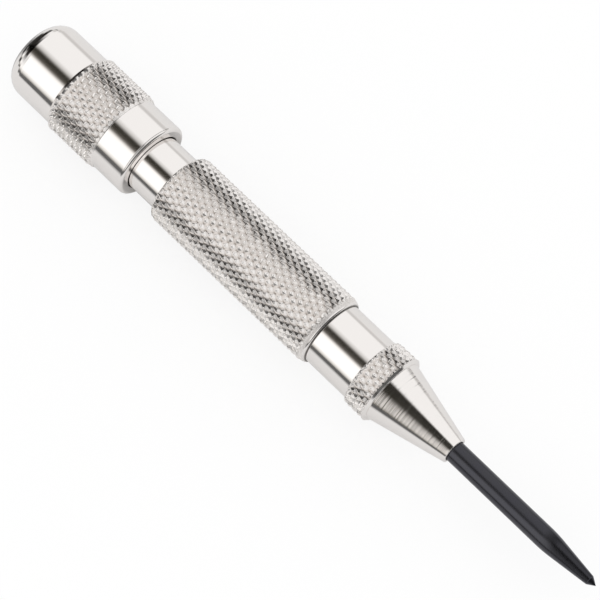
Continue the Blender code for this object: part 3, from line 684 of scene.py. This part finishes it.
# The punch point is a hardened steel rod with a head in the nose, ground to a slow taper and a short tip.
# It is blackened in hot salts, which leaves a thin satin black oxide over the grinding marks.
POINT_RADIUS = 1.85 * MM
POINT_HEAD_RADIUS = 2.7 * MM
POINT_HEAD_LENGTH = 5.5 * MM
POINT_HEAD_ROUNDING = 0.3 * MM
POINT_CUP_RADIUS = 1.9 * MM
POINT_CUP_DEPTH = 3.3 * MM
POINT_TAPER_LENGTH = 8.55 * MM
POINT_TAPER_ROUNDING = 1.5 * MM
POINT_TAPER_END_RADIUS = 0.85 * MM
POINT_TIP_LENGTH = 1.31 * MM
POINT_TIP_ROUNDING = 0.1 * MM
POINT_COLUMNS = 128
OXIDE_BLACK = "#47474e"
RUBBED_OXIDE = "#4d4d50"
OXIDE_PATCH = 2.5 * MM
OXIDE_ROUGHNESS = (0.19, 0.27)
POINT_MARK_SPACING = 0.12 * MM
POINT_MARK_DEPTH = 0.0012 * MM
POINT_MARK_STRETCH = (1, 0.15, 0.15)


def black_oxide(name):
    """Black oxide on ground steel: satin and near black, with ground rings and rubbed, paler patches."""
    material, tree, inputs, where = start_metal(name)

    # The grinding rings are drawn coarser than real ones so that they show
    stretched = add_node(tree, "ShaderNodeMapping", {"Vector": where, "Scale": POINT_MARK_STRETCH})
    grinding = {"Vector": stretched, "Scale": 1 / POINT_MARK_SPACING, "Detail": 4}
    grinding = add_node(tree, "ShaderNodeTexNoise", grinding)
    bump = add_node(tree, "ShaderNodeBump", {"Height": grinding, "Distance": POINT_MARK_DEPTH})
    tree.links.new(bump.outputs[0], inputs["Normal"])
    rubbed = {"Vector": where, "Scale": 1 / OXIDE_PATCH, "Detail": 4}
    rubbed = add_node(tree, "ShaderNodeTexNoise", rubbed)
    rough = {"Value": rubbed, "To Min": OXIDE_ROUGHNESS[0], "To Max": OXIDE_ROUGHNESS[1]}
    rough = add_node(tree, "ShaderNodeMapRange", rough)
    tree.links.new(rough.outputs[0], inputs["Roughness"])
    shades = {0: rubbed, 6: linear(OXIDE_BLACK), 7: linear(RUBBED_OXIDE)}
    colour = add_node(tree, "ShaderNodeMix", shades, data_type="RGBA")
    tree.links.new(colour.outputs[2], inputs["Base Color"])
    return material


taper_end = point_high.x - POINT_TIP_LENGTH
point_outline = turned_outline([
    (point_low.x + POINT_CUP_DEPTH, 0),
    (point_low.x + POINT_CUP_DEPTH, POINT_CUP_RADIUS),
    (point_low.x, POINT_CUP_RADIUS, BROKEN_EDGE),
    (point_low.x, POINT_HEAD_RADIUS, POINT_HEAD_ROUNDING),
    (point_low.x + POINT_HEAD_LENGTH, POINT_HEAD_RADIUS, BROKEN_EDGE),
    (point_low.x + POINT_HEAD_LENGTH, POINT_RADIUS, BROKEN_EDGE),
    (taper_end - POINT_TAPER_LENGTH, POINT_RADIUS, POINT_TAPER_ROUNDING),
    (taper_end, POINT_TAPER_END_RADIUS, POINT_TIP_ROUNDING),
    (point_high.x, 0),
])
point = turned_shell("punch_point_ground", [point_outline], POINT_COLUMNS)
point.data.materials.append(black_oxide("black_oxide_on_steel"))
finish_edges(point)
stands_for(point, "punch_point", "point")

# The adjusting cap is a turned cup that screws down the neck to load the main spring, so it sets the blow.
# It has a rounded flat end for the palm, a raised knurled band and a plain collar, all bright nickel plated.
CAP_RADIUS = 7.15 * MM
CAP_END_ROUNDING = 3.1 * MM
CAP_KNURL_RADIUS = 7.7 * MM
CAP_KNURL_FROM_END = 11.1 * MM
CAP_KNURL_LENGTH = 10.8 * MM
CAP_KNURL_REAR_TAPER = 0.6 * MM
CAP_KNURL_REAR_RUN_OUT = 0.35 * MM
CAP_KNURL_FRONT_TAPER = 1.0 * MM
CAP_KNURL_FRONT_RUN_OUT = 0.5 * MM
CAP_KNURL_TEETH = 38
CAP_KNURL_ROWS = 47
CAP_KNURL_DRIFT = 2
CAP_MATTE = 0.3
CAP_FRONT_ROUNDING = 0.65 * MM
CAP_BORE_RADIUS = 5.4 * MM
CAP_MOUTH_CHAMFER = 0.14 * MM
CAP_END_WALL = 3.6 * MM
SEAT_POCKET_RADIUS = 4.45 * MM
SEAT_POCKET_DEPTH = 3.2 * MM
CAP_MARK_SPACING = 0.4 * MM
CAP_MARK_DEPTH = 0.001 * MM
cap_low, cap_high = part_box("adjusting_cap")
cap_knurl_start = cap_low.x + CAP_KNURL_FROM_END
cap_knurl_end = cap_knurl_start + CAP_KNURL_LENGTH
cap_teeth_start = cap_knurl_start + CAP_KNURL_REAR_TAPER
pocket_floor = cap_low.x + CAP_END_WALL
cap_rear_outline = turned_outline([
    (cap_low.x, 0),
    (cap_low.x, CAP_RADIUS, CAP_END_ROUNDING),
    (cap_knurl_start, CAP_RADIUS),
    (cap_teeth_start, CAP_KNURL_RADIUS),
])
cap_front_outline = turned_outline([
    (cap_knurl_end, CAP_RADIUS),
    (cap_high.x, CAP_RADIUS, CAP_FRONT_ROUNDING),
    (cap_high.x, CAP_BORE_RADIUS, CAP_MOUTH_CHAMFER),
    (pocket_floor + SEAT_POCKET_DEPTH, CAP_BORE_RADIUS),
    (pocket_floor + SEAT_POCKET_DEPTH, SEAT_POCKET_RADIUS),
    (pocket_floor, SEAT_POCKET_RADIUS),
    (pocket_floor, 0),
])
cap = turned_shell(
    "adjusting_cap_turned", [cap_rear_outline, cap_front_outline], 2 * HALF_DIAMOND_CELLS * CAP_KNURL_TEETH
)
grow(cap, diamond_knurl, {
    "Start": cap_teeth_start, "Length": cap_knurl_end - cap_teeth_start, "Crest radius": CAP_KNURL_RADIUS,
    "Depth": KNURL_DEPTH, "Teeth": CAP_KNURL_TEETH, "Rows": CAP_KNURL_ROWS, "Drift": CAP_KNURL_DRIFT,
    "Rear edge": CAP_KNURL_REAR_TAPER, "Rear drop": 0.0, "Rear fullness": CHAMFERED,
    "Rear trim": 0.0, "Rear run-out": CAP_KNURL_REAR_RUN_OUT,
    "Front edge": CAP_KNURL_FRONT_TAPER, "Front drop": CAP_KNURL_RADIUS - CAP_RADIUS,
    "Front fullness": CHAMFERED, "Front trim": 0.0, "Front run-out": CAP_KNURL_FRONT_RUN_OUT,
    "Matte": CAP_MATTE, "Finish": nickel_plate("nickel_on_turned_cap", CAP_MARK_SPACING, CAP_MARK_DEPTH),
})
stands_for(cap, "adjusting_cap", "cap")

# The studio is a white dome over a white table. Polished metal shows what stands round it, so what it sees
# has a bright panel on the near side, a dark slot for the camera, a grey card towards the front, a dark wall
# behind, a dark front end, and a table that is dark past its near and rear edges.
WHITE = linear("#ffffff")
PANEL_STRENGTH = 1.22
STUDIO_RING = (
    (-90, "#d3d2d1"), (-84, "#c2c1c0"), (-79, "#c2c1c0"), (-73, "#ebebeb"), (14, "#ebebeb"), (18, "#ffffff"),
    (76, "#ffffff"), (84, "#dfdedb"), (88, "#a7a5a1"), (93, "#666460"),
)
CAMERA_SLOT = (
    (-9, "#ffffff"), (1, "#d6d5d3"), (9, "#484540"), (14, "#35332e"), (19, "#3b3833"), (25, "#585550"),
    (28.5, "#908d89"), (34.5, "#f3f2f0"), (40, "#ffffff"),
)
CAMERA_SLOT_END = (-0.20, -0.14)
CAMERA_SLOT_FADE = 0.75
FRONT_CARD = (
    (-7, "#ffffff"), (1, "#35332f"), (30, "#35332f"), (37, "#6a6865"), (45, "#b2b0ad"), (54, "#d2d0cd"),
    (83, "#dfddda"), (89, "#ffffff"),
)
FRONT_CARD_REACH = (-0.14, -0.08)
FRONT_CARD_END = (0.34, 0.42)
FRONT_CARD_FAN = 4.5
FRONT_CARD_TRUE_AT = 0.25
FRONT_CARD_FAN_LIMIT = 1.05
SEEN_TWICE_LEVEL = 0.85
REAR_WALL = ((45, "#2c2a28"), (80, "#ffffff"))
REAR_WALL_REACH = (-0.76, -0.62)
REAR_WALL_SLANT = 0.2
FRONT_END_DARK = (0.54, 0.70)
FRONT_END_LEVEL = 0.12
TABLE_SIZE = 3.0
TABLE_DROP = 0.05 * MM
TABLE_LEVEL = 0.84
TABLE_PAINT = 0.2
TABLE_PAINT_IN_METAL = 0.9
TABLE_NEAR_EDGE = (-0.064, -0.034)
TABLE_NEAR_EDGE_END = (-0.022, -0.008)
TABLE_NEAR_SLANT = 1.2
TABLE_NEAR_LEVEL = 0.14
TABLE_REAR_EDGE = (-0.125, -0.100)
TABLE_REAR_SLANT = 0.7
TABLE_REAR_LEVEL = 0.05
TOOL_SHADE = (0.003, 0.009)
TOOL_SHADE_MIDDLE = 0.002
TOOL_SHADE_FRONT = (-0.025, -0.005)
TOOL_SHADE_LEVEL = 0.3


def ring_ramp(tree, turn, stops):
    """Colours by angle round the tool's axis, from above towards the near side, in degrees."""
    share = add_node(tree, "ShaderNodeMapRange", {"Value": turn, "From Min": -math.pi, "From Max": math.pi})
    ramp = add_node(tree, "ShaderNodeValToRGB", {"Fac": share})
    elements = ramp.color_ramp.elements
    while len(elements) < len(stops):
        elements.new(1)
    for element, (degrees, colour) in zip(elements, stops):
        element.position = degrees / 360 + 0.5
        element.color = linear(colour)
    return ramp


world = bpy.data.worlds.new("studio_dome")
bpy.context.scene.world = world
world.use_nodes = True
world.cycles.sampling_method = "NONE"
tree = world.node_tree
direction = add_node(tree, "ShaderNodeTexCoord").outputs["Generated"]
split = add_node(tree, "ShaderNodeSeparateXYZ", {0: direction})
along = split.outputs["X"]
near_side = add_node(tree, "ShaderNodeMath", {0: split.outputs["Y"], 1: -1}, operation="MULTIPLY")
angle = add_node(tree, "ShaderNodeMath", {0: near_side, 1: split.outputs["Z"]}, operation="ARCTAN2")
blend = {"data_type": "RGBA"}
multiply = {"data_type": "RGBA", "blend_type": "MULTIPLY"}
ring = ring_ramp(tree, angle, STUDIO_RING).outputs[0]

# The camera's slot runs over the tool and fades towards the front
end = {"Value": along, "From Min": CAMERA_SLOT_END[0], "From Max": CAMERA_SLOT_END[1]}
end = add_node(tree, "ShaderNodeMapRange", {**end, "To Max": CAMERA_SLOT_FADE})
slot = {0: end, 6: ring_ramp(tree, angle, CAMERA_SLOT), 7: WHITE}
slot = add_node(tree, "ShaderNodeMix", slot, **blend).outputs[2]
seen = add_node(tree, "ShaderNodeMix", {0: 1.0, 6: ring, 7: slot}, **multiply).outputs[2]

# The card takes over from the slot towards the front, and fans out towards its rear end
reach = {"Value": along, "From Min": FRONT_CARD_REACH[0], "From Max": FRONT_CARD_REACH[1]}
reach = add_node(tree, "ShaderNodeMapRange", reach)
left = {"Value": along, "From Min": FRONT_CARD_END[1], "From Max": FRONT_CARD_END[0]}
left = add_node(tree, "ShaderNodeMapRange", left)
reach = add_node(tree, "ShaderNodeMath", {0: reach, 1: left}, operation="MULTIPLY")
fan = {0: along, 1: FRONT_CARD_FAN, 2: 1 - FRONT_CARD_TRUE_AT * FRONT_CARD_FAN}
fan = add_node(tree, "ShaderNodeMath", fan, operation="MULTIPLY_ADD")
fan = add_node(tree, "ShaderNodeMath", {0: fan, 1: FRONT_CARD_FAN_LIMIT}, operation="MINIMUM")
fanned = add_node(tree, "ShaderNodeMath", {0: angle, 1: fan}, operation="MULTIPLY")
card = {0: reach, 6: WHITE, 7: ring_ramp(tree, fanned, FRONT_CARD)}
card = add_node(tree, "ShaderNodeMix", card, **blend).outputs[2]
seen = add_node(tree, "ShaderNodeMix", {0: 1.0, 6: seen, 7: card}, **multiply).outputs[2]

# Light that has met two metal faces sees no slot and no card but a dimmer ring, which keeps the knurls even
light_path = add_node(tree, "ShaderNodeLightPath")
twice = {"Value": light_path.outputs["Glossy Depth"], "From Min": 1.0, "From Max": 2.0}
twice = add_node(tree, "ShaderNodeMapRange", twice)
even = {0: 1.0, 6: ring, 7: [SEEN_TWICE_LEVEL] * 3 + [1]}
even = add_node(tree, "ShaderNodeMix", even, **multiply).outputs[2]
seen = add_node(tree, "ShaderNodeMix", {0: twice, 6: seen, 7: even}, **blend).outputs[2]

# The wall behind stands a little askew, and the front end is dark all round
slanted = {0: split.outputs["Y"], 1: REAR_WALL_SLANT, 2: along}
slanted = add_node(tree, "ShaderNodeMath", slanted, operation="MULTIPLY_ADD")
reach = {"Value": slanted, "From Min": REAR_WALL_REACH[0], "From Max": REAR_WALL_REACH[1]}
reach = add_node(tree, "ShaderNodeMapRange", reach)
wall = {0: reach, 6: ring_ramp(tree, angle, REAR_WALL), 7: WHITE}
wall = add_node(tree, "ShaderNodeMix", wall, **blend).outputs[2]
seen = add_node(tree, "ShaderNodeMix", {0: 1.0, 6: seen, 7: wall}, **multiply).outputs[2]
front = {"Value": along, "From Min": FRONT_END_DARK[0], "From Max": FRONT_END_DARK[1]}
front = add_node(tree, "ShaderNodeMapRange", {**front, "To Min": 1.0, "To Max": FRONT_END_LEVEL})
seen = add_node(tree, "ShaderNodeMix", {0: 1.0, 6: seen, 7: front}, **multiply).outputs[2]

# Only metal sees all this. The camera and matte surfaces see plain white
glossy = light_path.outputs["Is Glossy Ray"]
colour = add_node(tree, "ShaderNodeMix", {0: glossy, 6: WHITE, 7: seen}, **blend)
strength = add_node(tree, "ShaderNodeMix", {0: glossy, 2: 1.0, 3: PANEL_STRENGTH})
tree.links.new(colour.outputs[2], tree.nodes["Background"].inputs["Color"])
tree.links.new(strength.outputs[0], tree.nodes["Background"].inputs["Strength"])

table_mesh = bpy.data.meshes.new("table")
work = bmesh.new()
bmesh.ops.create_grid(work, x_segments=1, y_segments=1, size=TABLE_SIZE)
bmesh.ops.translate(work, verts=work.verts, vec=(0, 0, -TABLE_DROP))
work.to_mesh(table_mesh)
work.free()
table = bpy.data.objects.new("table", table_mesh)
bpy.context.scene.collection.objects.link(table)

# Matte white paint with a glow, so that the table is white to the camera but keeps the tool's shadow.
# In the metal it is darker past its edges, and a shadow is painted on it under the rear of the tool
white_table = bpy.data.materials.new("white_table")
white_table.use_nodes = True
tree = white_table.node_tree
tree.nodes.remove(tree.nodes["Principled BSDF"])
where = add_node(tree, "ShaderNodeTexCoord").outputs["Object"]
split = add_node(tree, "ShaderNodeSeparateXYZ", {0: where})
aside = add_node(tree, "ShaderNodeMath", {0: split.outputs["Y"]}, operation="ABSOLUTE")
corner = {0: aside, 1: TABLE_NEAR_SLANT, 2: split.outputs["X"]}
corner = add_node(tree, "ShaderNodeMath", corner, operation="MULTIPLY_ADD")
end_levels = {"Value": corner, "From Min": TABLE_NEAR_EDGE_END[0], "From Max": TABLE_NEAR_EDGE_END[1]}
near_dark = add_node(tree, "ShaderNodeMapRange", {**end_levels, "To Min": 1.0, "To Max": TABLE_NEAR_LEVEL})
near_levels = {"Value": split.outputs["Y"], "From Min": TABLE_NEAR_EDGE[0], "From Max": TABLE_NEAR_EDGE[1]}
near_edge = add_node(tree, "ShaderNodeMapRange", {**near_levels, "To Min": near_dark})
behind = {0: aside, 1: TABLE_REAR_SLANT, 2: split.outputs["X"]}
behind = add_node(tree, "ShaderNodeMath", behind, operation="MULTIPLY_ADD")
rear_levels = {"Value": behind, "From Min": TABLE_REAR_EDGE[0], "From Max": TABLE_REAR_EDGE[1]}
rear_edge = add_node(tree, "ShaderNodeMapRange", {**rear_levels, "To Min": TABLE_REAR_LEVEL})
from_middle = {0: split.outputs["Y"], 1: TOOL_SHADE_MIDDLE}
from_middle = add_node(tree, "ShaderNodeMath", from_middle, operation="SUBTRACT")
from_middle = add_node(tree, "ShaderNodeMath", {0: from_middle}, operation="ABSOLUTE")
shade_levels = {"Value": from_middle, "From Min": TOOL_SHADE[0], "From Max": TOOL_SHADE[1]}
front_shade = {"Value": split.outputs["X"], "From Min": TOOL_SHADE_FRONT[0], "From Max": TOOL_SHADE_FRONT[1]}
front_shade = add_node(tree, "ShaderNodeMapRange", {**front_shade, "To Min": TOOL_SHADE_LEVEL})
tool_shade = add_node(tree, "ShaderNodeMapRange", {**shade_levels, "To Min": front_shade})
seen = add_node(tree, "ShaderNodeMath", {0: near_edge, 1: rear_edge}, operation="MULTIPLY")
seen = add_node(tree, "ShaderNodeMath", {0: seen, 1: tool_shade}, operation="MULTIPLY")
seen = add_node(tree, "ShaderNodeMath", {0: seen, 1: TABLE_LEVEL}, operation="MULTIPLY")
glossy = add_node(tree, "ShaderNodeLightPath").outputs["Is Glossy Ray"]
level = add_node(tree, "ShaderNodeMix", {0: glossy, 2: 1.0, 3: seen})
glow = add_node(tree, "ShaderNodeEmission", {"Color": level})
paint = add_node(tree, "ShaderNodeBsdfDiffuse", {"Color": level})
paint_share = add_node(tree, "ShaderNodeMix", {0: glossy, 2: TABLE_PAINT, 3: TABLE_PAINT_IN_METAL})
lit = add_node(tree, "ShaderNodeMixShader", {0: paint_share, 1: glow, 2: paint})
tree.links.new(lit.outputs[0], tree.nodes["Material Output"].inputs["Surface"])
table_mesh.materials.append(white_table)

# The camera looks down on the tool from its near side and towards its rear, with a long lens.
# Its place and aim come from the perspective of the turned edges in the photograph.
CAMERA_AZIMUTH = math.radians(46.02)
CAMERA_ELEVATION = math.radians(67.1)
CAMERA_DISTANCE = 0.450
CAMERA_LENS = 166.93
CAMERA_SENSOR = 36.0
AIM_STATION = -2.13 * MM
AIM_RIGHT = 0.762 * MM
AIM_UP = -0.156 * MM
back = Vector((
    math.sin(CAMERA_AZIMUTH) * math.cos(CAMERA_ELEVATION),
    -math.cos(CAMERA_AZIMUTH) * math.cos(CAMERA_ELEVATION),
    math.sin(CAMERA_ELEVATION),
))
lens = bpy.data.cameras.new("camera")
lens.lens = CAMERA_LENS
lens.sensor_width = CAMERA_SENSOR
camera = bpy.data.objects.new("camera", lens)
bpy.context.scene.collection.objects.link(camera)
turned_to = back.to_track_quat("Z", "Y")
aim = Vector((AIM_STATION, 0, AXIS_HEIGHT)) + turned_to @ Vector((AIM_RIGHT, AIM_UP, 0))
camera.rotation_euler = turned_to.to_euler()
camera.location = aim + back * CAMERA_DISTANCE
bpy.context.scene.camera = camera
bpy.context.scene.view_settings.view_transform = "Standard"
